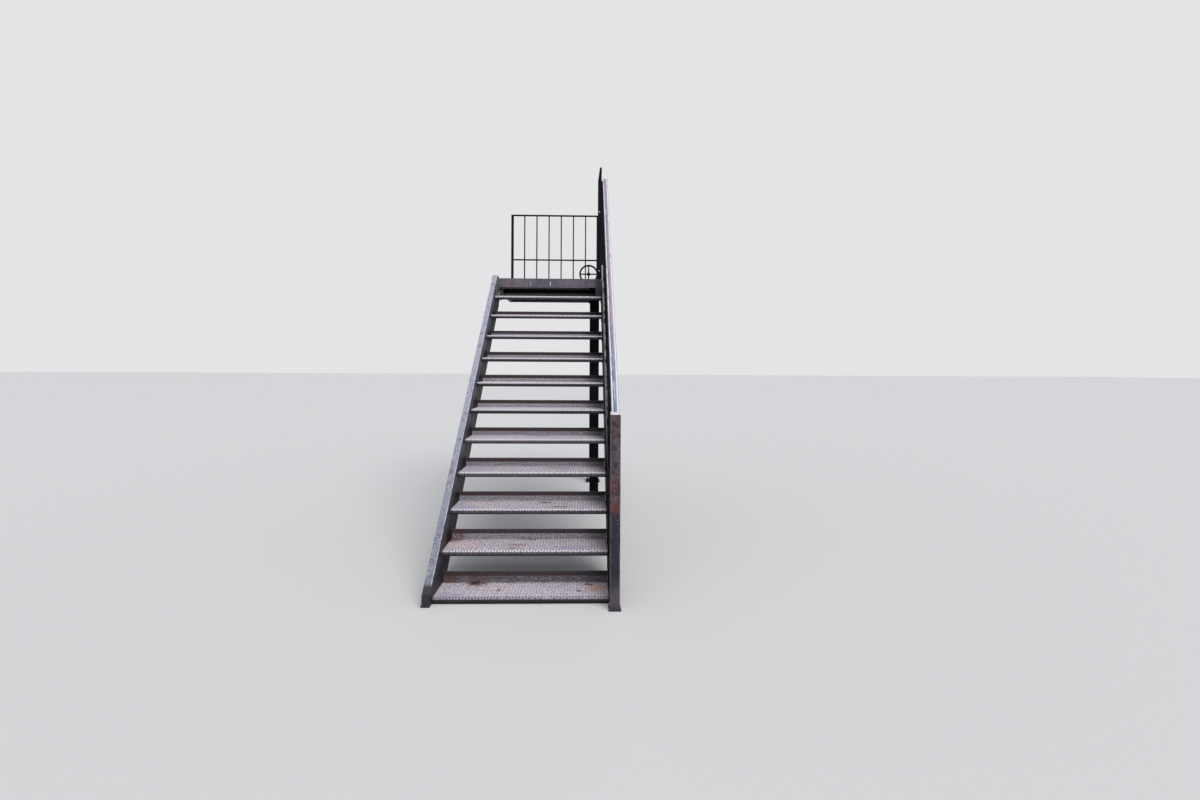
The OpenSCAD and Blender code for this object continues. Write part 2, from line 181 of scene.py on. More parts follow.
def join(name, parts):
    """One mesh from a list of (points, face set, face set)."""
    starts = np.cumsum([0] + [len(p[0]) for p in parts])
    points = np.concatenate([p[0] for p in parts])
    sets = [np.concatenate([p[k] + s for p, s in zip(parts, starts)]) for k in (1, 2)]
    return make_mesh(name, points, *sets)


print("quads round a tube of three rings of eight:", len(grid_faces(3, 8)))

# %% [markdown]
# ## A finish as a small network
# A finish could be painted on an image, but a network of nodes stays sharp at
# any distance and needs no unwrapping. All patterns use the object's own
# coordinates, which are metres on the stair, so they stay put in every view.

# %% The network and its coordinates
def tone(r, g, b):
    """A colour written as 0 to 255 screen values, as the shader wants it."""
    c = np.array([r, g, b]) / 255
    c = np.where(c <= 0.04045, c / 12.92, ((c + 0.055) / 1.055) ** 2.4)
    return (*c, 1.0)


class Network:
    """One material. Each call adds a node and returns the socket that it gives."""

    def __init__(self, name, specular):
        self.material = bpy.data.materials.new(name)
        self.material.use_nodes = True
        self.tree = self.material.node_tree
        self.tree.nodes.clear()
        self.shader = self.add("BsdfPrincipled")
        self.shader.inputs["Specular IOR Level"].default_value = specular
        out = self.add("OutputMaterial")
        self.tree.links.new(self.shader.outputs[0], out.inputs[0])
        self.place = self.add("TexCoord").outputs["Object"]

    def add(self, kind, **settings):
        node = self.tree.nodes.new("ShaderNode" + kind)
        for key, value in settings.items():
            setattr(node, key, value)
        return node

    def put(self, socket, value):
        """Links a socket to another one, or sets it to a value. A colour may be a triple."""
        if isinstance(value, bpy.types.NodeSocket):
            self.tree.links.new(value, socket)
        else:
            triple = socket.type == "RGBA" and len(value) == 3
            socket.default_value = tone(*value) if triple else value

    def make(self, kind, inputs, output=0, **settings):
        """Adds a node, fills the inputs that are named and returns one output."""
        node = self.add(kind, **settings)
        for key, value in inputs.items():
            self.put(node.inputs[key], value)
        return node.outputs[output]

    def moved(self, offset=(0, 0, 0), scale=(1, 1, 1)):
        """The coordinates stretched, then moved by an offset."""
        return self.make("Mapping", {"Vector": self.place, "Location": offset, "Scale": scale})

    def axes(self):
        """The three coordinates, one by one."""
        node = self.add("SeparateXYZ")
        self.put(node.inputs[0], self.place)
        return node.outputs

    def length(self, a, b):
        """The length of a vector whose first two parts are given."""
        flat = self.make("CombineXYZ", {0: a, 1: b})
        return self.make("VectorMath", {0: flat}, "Value", operation="LENGTH")

    def dot(self, a, b):
        """Dot product: with the coordinates, the distance along a direction."""
        return self.make("VectorMath", {0: a, 1: b}, "Value", operation="DOT_PRODUCT")


print("a middle grey for the shader:", np.round(tone(128, 128, 128)[:3], 3))

# %% [markdown]
# ## Masks
# Wear is a mask: 1 where it shows and 0 where the paint is whole. Noise and
# scattered points give the shapes, a soft threshold makes a mask of them, and
# masks that are multiplied leave only the places where all of them agree.

# %% Masks and numbers
class Pattern(Network):
    """Shapes in the coordinates and sums with them."""

    def noise(self, scale, stretch=None, detail=4, rough=0.55):
        """A cloudy pattern from 0 to 1, drawn out where stretch is below 1."""
        where = self.moved(scale=stretch) if stretch else self.place
        return self.make("TexNoise", {"Vector": where, "Scale": scale, "Detail": detail,
                                      "Roughness": rough})

    def spots(self, scale):
        """Distance to the nearest of many scattered points."""
        return self.make("TexVoronoi", {"Vector": self.place, "Scale": scale}, "Distance")

    def calc(self, operation, a, b=0.0):
        return self.make("Math", {0: a, 1: b}, operation=operation)

    def both(self, a, *more):
        """1 only where all of the masks are 1."""
        for b in more:
            a = self.calc("MULTIPLY", a, b)
        return a

    def either(self, a, b):
        return self.calc("MAXIMUM", a, b)

    def fade(self, value, start, end):
        """0 at start and 1 at end, with a soft change between them."""
        down = start > end
        return self.make("MapRange", {
            "Value": value, "From Min": min(start, end), "From Max": max(start, end),
            "To Min": int(down), "To Max": int(not down)}, interpolation_type="SMOOTHSTEP")

    def band(self, value, start, end, soft):
        """1 between start and end, and 0 outside them."""
        return self.both(self.fade(value, start - soft, start + soft),
                         self.fade(value, end + soft, end - soft))

    def ragged(self, value, noise, amount):
        """The value pushed up and down by a noise, so that a border is not straight."""
        return self.calc("ADD", value, self.both(self.calc("SUBTRACT", noise, 0.5), amount))

    def between(self, factor, a, b):
        """A number that runs from a to b as factor runs from 0 to 1."""
        return self.make("Mix", {0: factor, 2: a, 3: b}, data_type="FLOAT")


print("masks:", [n for n in vars(Pattern) if not n.startswith("_")])

# %% [markdown]
# ## Coats
# Painted steel outdoors has the same few layers whatever its colour: paint
# that has faded unevenly, a film of dirt, chips where primer or rust shows,
# and edges that use has rubbed. So each call below lays one more coat over
# the colour so far, and a finish reads like a recipe.

# %% Coats of a finish
class Finish(Pattern):
    """A material whose colour is built up coat by coat."""

    def blend(self, factor, a, b, kind="MIX"):
        """Colour a where factor is 0 and colour b where it is 1."""
        return self.make("Mix", {0: factor, 6: a, 7: b}, 2, data_type="RGBA", blend_type=kind)

    def dim(self, factor, colour, keep):
        """The colour with only a share of its light kept where factor is 1."""
        share = keep if isinstance(keep, bpy.types.NodeSocket) else (keep, keep, keep, 1)
        return self.blend(factor, colour, share, "MULTIPLY")

    def coat(self, paint, *masks):
        """Lays paint over the colour so far where all of the masks are 1."""
        self.colour = self.blend(self.both(*masks), self.colour, paint)

    def dim_dirt_and_shade(self, keep, *masks):
        """Dims the colour so far where all of the masks are 1, for dirt and for painted shade.
        """
        self.colour = self.dim(self.both(*masks), self.colour, keep)

    def tint(self, scale, warm, cool, amount):
        """Two faint tints, so that no patch is one flat tone."""
        cloud = self.noise(scale, detail=3)
        self.coat(warm, self.fade(cloud, 0.52, 0.66), amount)
        self.coat(cool, self.fade(cloud, 0.48, 0.34), amount)

    def edges(self, radius):
        """1 on sharp edges: there a rounded normal differs from the flat one."""
        soft = self.make("Bevel", {"Radius": radius}, samples=4)
        flat = self.make("NewGeometry", {}, "Normal")
        return self.fade(self.dot(soft, flat), 0.96, 0.65)

    def done(self, roughness, height=None, distance=0.0, metal=0.0):
        """Links colour, roughness and a bump of the given depth to the shader."""
        links = {"Base Color": self.colour, "Roughness": roughness, "Metallic": metal}
        if height is not None:
            links["Normal"] = self.make("Bump", {
                "Strength": 1.0, "Distance": distance, "Height": height})
        for key, value in links.items():
            self.put(self.shader.inputs[key], value)
        return self.material


print("coats:", [n for n in vars(Finish) if not n.startswith("_")])

# %% [markdown]
# ## Old paint
# The frame, the posts and the guards were brushed with thick dark paint over
# older coats. It is not one colour: sun and rain have bleached it in patches,
# and rust comes through in spots and runs. A finish could be made for each
# piece, but one recipe keeps them alike, and each gets its own colours, its
# own amount of wear and, where it needs them, coats of its own.

# %% The recipe for old paint
rust_dark = (70, 42, 34)
rust_bright = (122, 74, 52)
primer_pink = (176, 150, 150)


def old_paint(name, paint, faded, rust=0.35, chips=0.25, gloss=0.5, edge=0.5, specular=0.35,
              coats=None):
    """Brushed paint that fades to a second colour, with rust, chips and rubbed edges.

    The coats function may lay more coats before the rust comes through."""
    f = Finish(name, specular)
    broad = f.noise(2.3, detail=5)
    patch = f.noise(14, detail=5, rough=0.6)
    mottle = f.noise(75, rough=0.65)
    grain = f.noise(240, detail=3)
    runs = f.noise(9, (1, 1, 0.12))
    f.colour = f.blend(f.fade(broad, 0.38, 0.66), paint, faded)
    f.coat(faded, f.fade(patch, 0.45, 0.75), 0.5)
    if coats:
        coats(f, patch, mottle)
    f.dim_dirt_and_shade(0.55, f.fade(mottle, 0.52, 0.66), 0.7)
    speck = f.both(f.fade(f.spots(170), 0.22, 0.10), f.fade(patch, 0.50, 0.62))
    bare = f.both(f.edges(0.003), f.fade(patch, 0.42, 0.60), edge)
    rusted = f.both(f.fade(runs, 0.60, 0.72), f.fade(patch, 0.44, 0.64), rust)
    f.coat(rust_dark, rusted)
    f.coat(rust_bright, bare, 0.7)
    f.coat(primer_pink, speck, chips)
    rough = f.between(patch, gloss - 0.1, gloss + 0.18)
    rough = f.between(f.either(rusted, bare), rough, 0.85)
    height = f.calc("ADD", f.both(grain, 0.25), f.both(patch, 0.75))
    height = f.calc("SUBTRACT", height, f.both(speck, 0.5))
    return f.done(rough, height, 0.0005)


plate_paint = old_paint("plate_paint", (34, 34, 40), (60, 58, 62), rust=1.0)
print("nodes in one paint:", len(plate_paint.node_tree.nodes))

# %% [markdown]
# ## The two stringers
# The top flanges are lit from above. The left one is pale blue-grey, paler
# up the slope, with a stained foot. Only a strip of the left web above the
# treads is lit; below them the web is painted nearly black as shade under the
# treads. The right channel is darker, with one pale strip along its flange,
# and its inner face is nearly black: dark paint with painted shade, browner
# near the foot. The zones follow the slope, so they are measured square to it.

# %% Paint of the stringers
off_slope = (0, -math.sin(pitch_angle), math.cos(pitch_angle))
stringer_top_off = float(np.dot(nose(1), off_slope)) + stringer_up


def flange_zone(f):
    """How far a place lies under the stringers' top edge, and 1 on the top flange's face."""
    under = f.calc("SUBTRACT", stringer_top_off, f.dot(f.place, off_slope))
    return under, f.fade(under, 0.0035, 0.0010)


def left_channel_coats(f, patch, mottle):
    x, y, z = f.axes()
    under, on_top = flange_zone(f)
    lit = f.blend(f.fade(y, -2.2, -1.2), (65, 63, 71), (86, 89, 100))
    # Painted shade: below the treads the web turns nearly black.
    painted_shade_below_treads = f.fade(f.calc("ADD", under, f.both(patch, 0.05)), 0.080, 0.130)
    web = f.blend(painted_shade_below_treads, lit, (17, 14, 14))
    f.colour = f.blend(f.fade(y, -2.85, -1.50), (122, 123, 139), (160, 160, 174))
    streak = f.noise(30, (1, 0.15, 1))
    f.coat((94, 92, 104), f.fade(streak, 0.52, 0.66), 0.55)
    f.coat((196, 198, 212), f.fade(mottle, 0.46, 0.30), 0.7)
    corner = f.both(f.fade(x, left_web - 0.006, left_web - 0.002), f.fade(patch, 0.38, 0.54))
    f.coat((206, 206, 218), corner, 0.7)
    f.colour = f.blend(on_top, web, f.colour)
    f.coat((52, 48, 56), f.fade(f.ragged(z, patch, 0.05), -1.855, -1.885))


def right_channel_coats(f, patch, mottle):
    x, y, _ = f.axes()
    under, on_top = flange_zone(f)
    # The inner face is nearly black: dark paint with painted shade, browner near the foot.
    brown = f.blend(f.fade(y, -2.1, -2.5), (6, 5, 6), (14, 7, 6))
    f.coat(brown, f.fade(x, right_web + 0.0012, right_web + 0.0004))
    f.coat((20, 17, 20), on_top, 0.95)
    worn = f.blend(f.fade(y, -2.25, -1.80), (48, 39, 38), (150, 145, 152))
    f.coat(worn, on_top, f.band(x, right_web + 0.004, right_web + 0.020, 0.003))


left_channel_paint = old_paint("left_channel_paint", (65, 63, 71), (86, 89, 100),
                               rust=0.4, edge=0.35, coats=left_channel_coats)
right_channel_paint = old_paint("right_channel_paint", (22, 21, 25), (50, 46, 50),
                                rust=0.9, chips=0.4, specular=0.03, coats=right_channel_coats)
carrier_paint = old_paint("carrier_paint", (18, 17, 19), (30, 28, 31), rust=0.7, specular=0.1)
print("finishes so far:", len(bpy.data.materials))

# %% [markdown]
# ## Landing and stair guard
# The landing's front channel is seen from the foot of the stair: brown where
# water has run on the left, bluer on the right, with a thin worn line along
# its top edge and two pale nicks. The guards are close to black, and the
# stair's lower rail has a pale strip on its top beside the stringer.

# %% Coats of the landing's channel and of the stair's guard
def fascia_coats(f, patch, mottle):
    x, y, z = f.axes()
    runs = f.noise(24, (1, 1, 0.10), detail=5)
    f.coat((86, 86, 104), f.band(x, 0.330, 0.600, 0.020), 0.9)
    f.tint(38, (122, 104, 106), (86, 92, 112), 0.55)
    left_part = f.between(f.fade(x, 0.36, 0.28), 0.15, 0.8)
    f.coat((120, 98, 100), f.fade(runs, 0.42, 0.62), left_part)
    grime = f.noise(60, (1, 1, 0.3))
    f.dim_dirt_and_shade(0.5, f.fade(grime, 0.54, 0.62), 0.5)
    top = f.both(f.fade(z, deck_z - 0.006, deck_z - 0.001), f.fade(patch, 0.30, 0.50))
    f.coat((176, 172, 180), top, 0.5)
    faint = f.both(f.band(x, 0.336, 0.344, 0.001), 0.5)
    nicks = f.either(faint, f.band(x, 0.511, 0.518, 0.001))
    front = f.fade(y, front_y + 0.004, front_y + 0.002)
    f.coat((206, 204, 206), nicks, f.band(z, -0.020, 0.014, 0.003), front)


def stair_guard_coats(f, patch, mottle):
    x, y, _ = f.axes()
    rail_off = f.calc("SUBTRACT", f.dot(f.place, off_slope), stringer_top_off)
    inner = f.fade(x, right_web + 0.019, right_web + 0.014)
    f.coat((134, 130, 138), f.band(rail_off, 0.050, 0.065, 0.004), inner,
           f.fade(y, -2.1, -1.7), f.fade(patch, 0.35, 0.50))


landing_paint = old_paint("landing_paint", (96, 90, 98), (118, 112, 124), rust=0.45,
                          chips=0.5, coats=fascia_coats)
stair_guard_paint = old_paint("stair_guard_paint", (13, 12, 15), (28, 27, 32),
                              rust=0.3, chips=0.2, gloss=0.65, edge=0.3, specular=0.06,
                              coats=stair_guard_coats)
print("finishes so far:", len(bpy.data.materials))

# %% [markdown]
# ## The lower newel
# The newel keeps dark navy paint below, a raw red patch above it and brown
# wear where it is held. Its corners and right edge carry a painted highlight,
# standing in for the light that its rounded corners catch. Its zones lie one
# over the other, so height picks them, with a ragged border.

# %% Paint of the newel
newel_low, newel_high = (np.array(c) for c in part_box("lower_newel"))
newel_mid = (newel_low + newel_high) / 2


def newel_coats(f, patch, mottle):
    x, _, z = f.axes()
    up = f.ragged(z, f.noise(11, detail=6, rough=0.7), 0.22)
    aside = f.calc("SUBTRACT", x, newel_mid[0])
    speckle = f.noise(38, detail=5, rough=0.7)
    brown = f.blend(f.fade(speckle, 0.40, 0.60), (58, 48, 51), (92, 77, 81))
    f.coat(brown, f.fade(up, -1.50, -1.46))
    f.coat((98, 48, 52), f.band(up, -1.49, -1.33, 0.03), f.fade(patch, 0.36, 0.50), 0.85)
    f.coat((84, 88, 102), f.band(up, -1.28, -1.06, 0.03), f.fade(aside, -0.005, 0.010),
           f.fade(f.noise(30), 0.42, 0.56), 0.8)
    pitted = f.both(f.fade(f.spots(95), 0.30, 0.18), f.fade(patch, 0.56, 0.44))
    f.coat((104, 100, 108), pitted, 0.7)
    f.coat((88, 80, 82), f.fade(up, -1.80, -1.90), f.fade(patch, 0.36, 0.56), 0.8)
    f.dim_dirt_and_shade(0.45, f.fade(mottle, 0.50, 0.60), f.fade(up, -1.40, -1.30), 0.6)
    # Painted highlight: the corners and the right edge paler, where rounded corners catch the
    # light.
    corner = f.fade(f.calc("ABSOLUTE", aside), 0.0175, 0.0225)
    f.coat((94, 87, 94), corner, f.fade(patch, 0.34, 0.48), 0.6)
    f.coat((128, 122, 128), f.fade(aside, 0.0225, 0.0240), f.fade(patch, 0.40, 0.52), 0.7)


newel_paint = old_paint("newel_paint", (32, 32, 44), (46, 44, 56), rust=0.3,
                        chips=0.8, edge=0.5, specular=0.25, coats=newel_coats)
print("newel", np.round(newel_high - newel_low, 3))

# %% [markdown]
# ## Plain paints
# The rest needs no coats of its own. Dark paint seen at a flat angle mirrors
# the pale surroundings, which old dull paint does not, so its specular is low.

# %% Paint of posts, guards and small pieces
# The ledger and joists are near black: dark paint, made darker as painted shade under the
# landing.
joist_paint_and_shade = old_paint("joist_paint_and_shade", (12, 11, 13), (24, 22, 24), rust=0.9, specular=0.08)
post_paint = old_paint("post_paint", (7, 8, 11), (19, 21, 26), rust=0.7, chips=0.3,
                       gloss=0.7, edge=0.3, specular=0.05)
guard_paint = old_paint("guard_paint", (12, 12, 15), (28, 28, 33), rust=0.7, chips=0.3,
                        gloss=0.65, edge=0.3, specular=0.10)
left_head_paint = old_paint("left_head_paint", (112, 114, 114), (136, 138, 140), rust=0.6)
right_head_paint = old_paint("right_head_paint", (60, 64, 66), (78, 82, 86), rust=0.6, chips=0.4)
cap_paint = old_paint("cap_paint", (196, 190, 196), (230, 224, 228), rust=0.6, chips=0.3)
bare_zinc = old_paint("bare_zinc", (168, 168, 172), (190, 190, 192), rust=0.5, chips=0.1)
print("finishes so far:", len(bpy.data.materials))

# %% [markdown]
# ## The handrail
# The moulded rail is nearly white on its two ridges, with a painted highlight
# along each crest. A dirty line follows the left side of the groove between
# them. Low down, where rain keeps it clean, the rail is bluish; further up an
# older pink coat shows. The pattern is stretched along the rail, since wear
# there is streaky.

# %% The handrail's finish
rail_low, rail_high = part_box("stair_handrail")
rail_mid_x = (rail_low[0] + rail_high[0]) / 2


def rail_finish():
    f = Finish("handrail_paint", 0.3)
    x, y, _ = f.axes()
    aside = f.calc("SUBTRACT", x, rail_mid_x)
    out = f.calc("ABSOLUTE", aside)
    streak = f.noise(120, (1, 0.10, 0.10), detail=5, rough=0.65)
    patch = f.noise(9, detail=5, rough=0.6)
    upper = f.fade(f.ragged(y, patch, 0.8), -2.45, -2.25)
    ridge = f.blend(upper, (188, 192, 208), (208, 198, 209))
    groove = f.blend(upper, (130, 135, 157), (164, 152, 166))
    groove = f.blend(f.fade(aside, 0.001, 0.008), groove, ridge)
    f.colour = f.blend(f.fade(out, 0.0105, 0.0075), ridge, groove)
    f.dim_dirt_and_shade(f.between(upper, 0.85, 0.72), f.fade(aside, -0.0095, -0.0115))
    line = f.blend(upper, (84, 88, 108), (118, 98, 112))
    f.coat(line, f.band(aside, -0.0105, -0.0055, 0.0012), 0.8)
    # Painted highlight: a near-white line along the crest of each ridge.
    highlight_crest = f.both(f.band(out, 0.0115, 0.0155, 0.0008), f.fade(streak, 0.62, 0.52))
    f.coat((252, 248, 255), highlight_crest, 0.75)
    f.coat((92, 82, 96), f.fade(out, 0.0175, 0.0203), 0.8)
    dirt = f.both(f.fade(streak, 0.55, 0.68), f.fade(patch, 0.44, 0.58))
    f.coat((112, 98, 110), dirt, 0.8)
    clean = f.blend(upper, (236, 238, 248), (244, 234, 242))
    f.coat(clean, f.fade(streak, 0.44, 0.34), 0.6)
    height = f.calc("ADD", f.both(streak, 0.6), f.both(f.noise(300, detail=3), 0.3))
    return f.done(f.between(dirt, 0.45, 0.75), height, 0.0003)


handrail_paint = rail_finish()
print("handrail from y", round(rail_low[1], 3), "to", round(rail_high[1], 3))

# %% [markdown]
# ## Worn chequer plate
# The treads and the deck are steel plate with small raised lugs. A thin dusty
# film makes the hollows mauve-grey and boots rub the lugs paler. The bend of
# the nosing is polished, and its near-white band is also a painted highlight,
# reaching further down the lip on the higher treads. Scattered near-white
# points on the plate are painted glints. The lip under the nosing is dark, the
# plate's underside is painted near black as shade, painted shade darkens the
# right end and back of each plate, and grit and rust lie along the fold at the
# back. A finish is made for each tread, because the pattern has to start from
# that tread's own nosing, and stains differ from step to step.

# %% Where a place lies on a tread
def stand_proud(f, y, z):
    """Height over the folded sheet, measured round the nosing's bend: length of the
    vector from the bend's axis, less its radius."""
    ahead = f.calc("MAXIMUM", f.calc("SUBTRACT", nosing_r, y), 0.0)
    above = f.calc("MAXIMUM", f.calc("ADD", z, nosing_r), 0.0)
    return f.calc("SUBTRACT", f.length(ahead, above), nosing_r)


def stain(f, x, y, blotch, speck, mid_x, mid_y, half_x, half_y, paint, strength):
    """An oval patch on the plate, placed and sized in millimetres. One noise makes its
    edge ragged, a finer one breaks it into specks."""
    dx = f.calc("DIVIDE", f.calc("SUBTRACT", x, mid_x / 1000), half_x / 1000)
    dy = f.calc("DIVIDE", f.calc("SUBTRACT", y, mid_y / 1000), half_y / 1000)
    far = f.ragged(f.ragged(f.length(dx, dy), blotch, 2.4), speck, 3.6)
    f.coat(paint, f.fade(far, 1.25, 0.60), strength)


print("nosing bend", round(nosing_r * math.pi / 2 * 1000, 1), "mm round")

# %% The treads' finish
def tread_finish(name, origin, depth=tread_depth, back=0.226, clean=0.5, polish_and_highlight=1.0,
                 highlight_crest=0.0088, right_end_shade_keep=0.42, lip_keep=0.38, shade=0.0,
                 fold=(152, 144, 153), upstand=(176, 170, 180),
                 nosing=((172, 166, 175), (255, 252, 255)), stains=(), specks=()):
    f = Finish(name, 0.3)
    f.place = f.moved(offset=tuple(-c for c in origin))
    x, y, z = f.axes()
    patch = f.noise(7, detail=6, rough=0.62)
    blotch = f.noise(26, detail=5, rough=0.6)
    speck = f.noise(80, rough=0.7)
    grain = f.noise(330, detail=3)

    # The plate: hollows, tints, lug tops, boot marks and painted glints
    f.colour = f.blend(f.fade(patch, 0.34, 0.66), (132, 122, 131), (154, 145, 155))
    f.coat((132, 118, 125), f.fade(blotch, 0.52, 0.68), 0.5)
    f.tint(42, (204, 174, 172), (158, 162, 186), 0.6)
    f.coat((86, 76, 82), f.fade(speck, 0.55, 0.65), 0.8)
    lug_top = f.both(f.fade(stand_proud(f, y, z), 0.0001, 0.0005), f.fade(z, 0.004, 0.003))
    pale = f.blend(f.fade(speck, 0.44, 0.60), (255, 250, 255), (208, 199, 209))
    f.coat(pale, lug_top)
    f.coat((212, 205, 214), clean)
    trodden = f.noise(95, (1, 0.4, 0.4), detail=3, rough=0.6)
    f.coat((98, 88, 95), f.fade(trodden, 0.53, 0.63), 0.4)
    f.coat((240, 232, 242), f.fade(trodden, 0.47, 0.37), 0.3)
    # Painted glints: scattered near-white points.
    f.coat((248, 242, 250), f.fade(f.spots(150), 0.20, 0.12), f.fade(blotch, 0.50, 0.38))

    # The fold, the upstand and the kick bar behind the plate
    grit = f.fade(f.noise(120, rough=0.65), 0.42, 0.60)
    near_fold = f.fade(f.ragged(y, blotch, 0.07), back - 0.030, back + 0.010)
    f.coat(f.dim(grit, fold, 0.5), near_fold)
    rear = f.both(f.fade(z, 0.002, 0.006), f.fade(y, 0.15, 0.20))
    bright = f.both(f.fade(speck, 0.46, 0.36), 0.2)
    f.coat(f.blend(bright, f.dim(grit, upstand, 0.4), (1, 1, 1, 1)), rear)
    kick = f.blend(f.fade(blotch, 0.46, 0.62), (64, 59, 64), (76, 58, 56))
    kick = f.dim(f.both(grit, 0.7), kick, 0.6)
    top_edge = f.both(f.fade(z, kick_bar_h - 0.004, kick_bar_h), 0.4)
    kick = f.blend(top_edge, kick, (132, 122, 126))
    high_up = f.fade(z, upstand_h - 0.001, upstand_h + 0.001)
    f.coat(kick, f.either(high_up, f.fade(y, depth, depth + 0.001)))

    # Stains and specks, then painted shade darkening the right end and back
    for spot in stains:
        stain(f, x, y, blotch, speck, *spot)
    dots = f.fade(f.spots(125), 0.36, 0.26)
    for *oval, strength in specks:
        stain(f, x, y, blotch, speck, *oval, f.both(dots, strength))
    f.dim_dirt_and_shade(right_end_shade_keep, f.fade(f.calc("ADD", x, f.both(y, 0.35)), 0.80, 0.99))
    f.dim_dirt_and_shade(0.5, shade)

    # The lip, and the plate's underside painted near black as shade
    plate = f.colour
    f.colour = f.blend(f.fade(z, -0.011, -0.027), (92, 85, 93), (36, 32, 35))
    f.dim_dirt_and_shade(0.5, f.fade(blotch, 0.46, 0.60), 0.6)
    f.coat((140, 133, 143), lug_top, f.fade(z, -0.030, -0.014), 0.75)
    f.dim_dirt_and_shade(lip_keep, 1.0)
    on_lip = f.both(f.fade(z, -0.0075, -0.0125), f.fade(y, 0.006, 0.004))
    f.colour = f.blend(on_lip, plate, f.colour)
    # Painted shade: the plate's underside near black.
    f.coat((26, 23, 26), f.fade(z, -0.0042, -0.0049), f.fade(y, 0.0046, 0.0052))

    # The nosing: polish from wear, with a painted highlight along its bend
    worn = f.fade(f.noise(18, (1, 0.2, 0.2), detail=5), 0.30, 0.46)
    on_bend = f.fade(z, -highlight_crest - 0.0022, 0.0022 - highlight_crest)
    polished_and_highlit = f.both(f.fade(y, 0.014, 0.008), on_bend, worn, polish_and_highlight)
    rubbed_and_glinting = f.either(lug_top, f.fade(speck, 0.42, 0.34))
    f.coat(f.blend(rubbed_and_glinting, *nosing), polished_and_highlit)

    rough = f.between(polished_and_highlit, f.between(patch, 0.48, 0.66), 0.35)
    rough = f.between(rear, rough, 0.85)
    height = f.calc("ADD", f.both(grain, 0.35), f.both(blotch, 0.65))
    return f.done(rough, height, 0.0004, metal=f.both(polished_and_highlit, 0.2))


far_off = 5.0
deck_lap = 0.02
deck_finish = tread_finish("deck_steel", (left_web, front_y - deck_lap, deck_z),
                           depth=far_off, back=far_off, clean=0.0, polish_and_highlight=0.0, shade=0.9)
print("nodes in the deck's finish:", len(deck_finish.node_tree.nodes))

# %% [markdown]
# ## Stains, step by step
# The lowest treads are seen best. The first has a round rust stain, an orange
# patch at its right end and brown rust along its back. The second is speckled
# pink at its left end and the third has a small orange patch. Dark scuffs lie
# here and there. Each stain is a centre and a half size in millimetres on the
# plate, a colour and a strength. Treads that no row names have the finish's
# usual values.

# %% Stains and wear of the treads
rust_brown = (104, 62, 56)
rust_core = (52, 26, 26)
scuff = (88, 74, 80)
blue_film = (150, 152, 182)
plain_upstand = (154, 147, 155)
white_polish_highlight = (255, 252, 255)
tread_wear = {
    1: dict(
        back=0.212, clean=0.35, polish_and_highlight=0.9, right_end_shade_keep=0.80, lip_keep=0.25,
        fold=(116, 104, 111), upstand=(110, 100, 107),
        nosing=((92, 85, 92), (198, 191, 200)),
        stains=[(190, 192, 56, 40, rust_brown, 0.85), (184, 206, 34, 22, rust_core, 0.9),
                (30, 222, 48, 20, (86, 54, 46), 0.7), (845, 120, 50, 45, (196, 140, 112), 0.45),
                (800, 172, 24, 14, scuff, 0.9), (752, 83, 12, 12, rust_core, 0.9),
                (327, 93, 10, 10, rust_core, 0.8), (80, 30, 70, 30, blue_film, 0.5)],
        specks=[(845, 120, 60, 50, (236, 176, 140), 0.9),
                (300, 120, 120, 70, (222, 176, 168), 0.5)]),
    2: dict(
        clean=0.15, polish_and_highlight=0.95, right_end_shade_keep=0.60, lip_keep=0.80,
        fold=(140, 131, 139), upstand=(158, 151, 159),
        nosing=((150, 143, 152), white_polish_highlight),
        stains=[(70, 105, 85, 70, (216, 176, 178), 0.25), (20, 200, 60, 40, (92, 62, 54), 0.8),
                (463, 205, 45, 14, scuff, 0.8), (394, 97, 50, 24, (128, 98, 92), 0.6),
                (376, 41, 40, 10, scuff, 0.7), (716, 53, 100, 22, blue_film, 0.6)],
        specks=[(75, 105, 100, 85, (255, 206, 208), 0.95),
                (420, 120, 150, 60, (222, 170, 168), 0.6)]),
    3: dict(
        clean=0.12, right_end_shade_keep=0.50, lip_keep=0.75, upstand=plain_upstand,
        nosing=((158, 151, 160), white_polish_highlight),
        stains=[(143, 125, 50, 42, (220, 178, 150), 0.3), (90, 56, 70, 45, blue_film, 0.5),
                (538, 160, 40, 22, scuff, 0.75), (627, 55, 60, 14, scuff, 0.7)],
        specks=[(143, 120, 62, 46, (255, 212, 176), 0.95),
                (60, 50, 60, 50, (190, 196, 236), 0.6)]),
    4: dict(
        clean=0.10, lip_keep=1.0, upstand=plain_upstand,
        stains=[(120, 120, 80, 50, blue_film, 0.45), (600, 150, 70, 20, scuff, 0.5)],
        specks=[(200, 140, 160, 60, (226, 180, 176), 0.6)]),
    5: dict(
        clean=0.20, lip_keep=1.0, upstand=plain_upstand,
        stains=[(480, 170, 60, 24, scuff, 0.55)]),
    8: dict(highlight_crest=0.0095), 9: dict(highlight_crest=0.0100),
    10: dict(highlight_crest=0.0130), 11: dict(highlight_crest=0.0150),
}
tread_finishes = {i: tread_finish(f"tread_steel_{i:02d}", nose(i), **tread_wear.get(i, {}))
                  for i in range(1, tread_count + 1)}
print("finishes in all:", len(bpy.data.materials))

# %% [markdown]
# ## A finish for every solid
# The solids keep their meshes. Only the finish in their material slots changes.

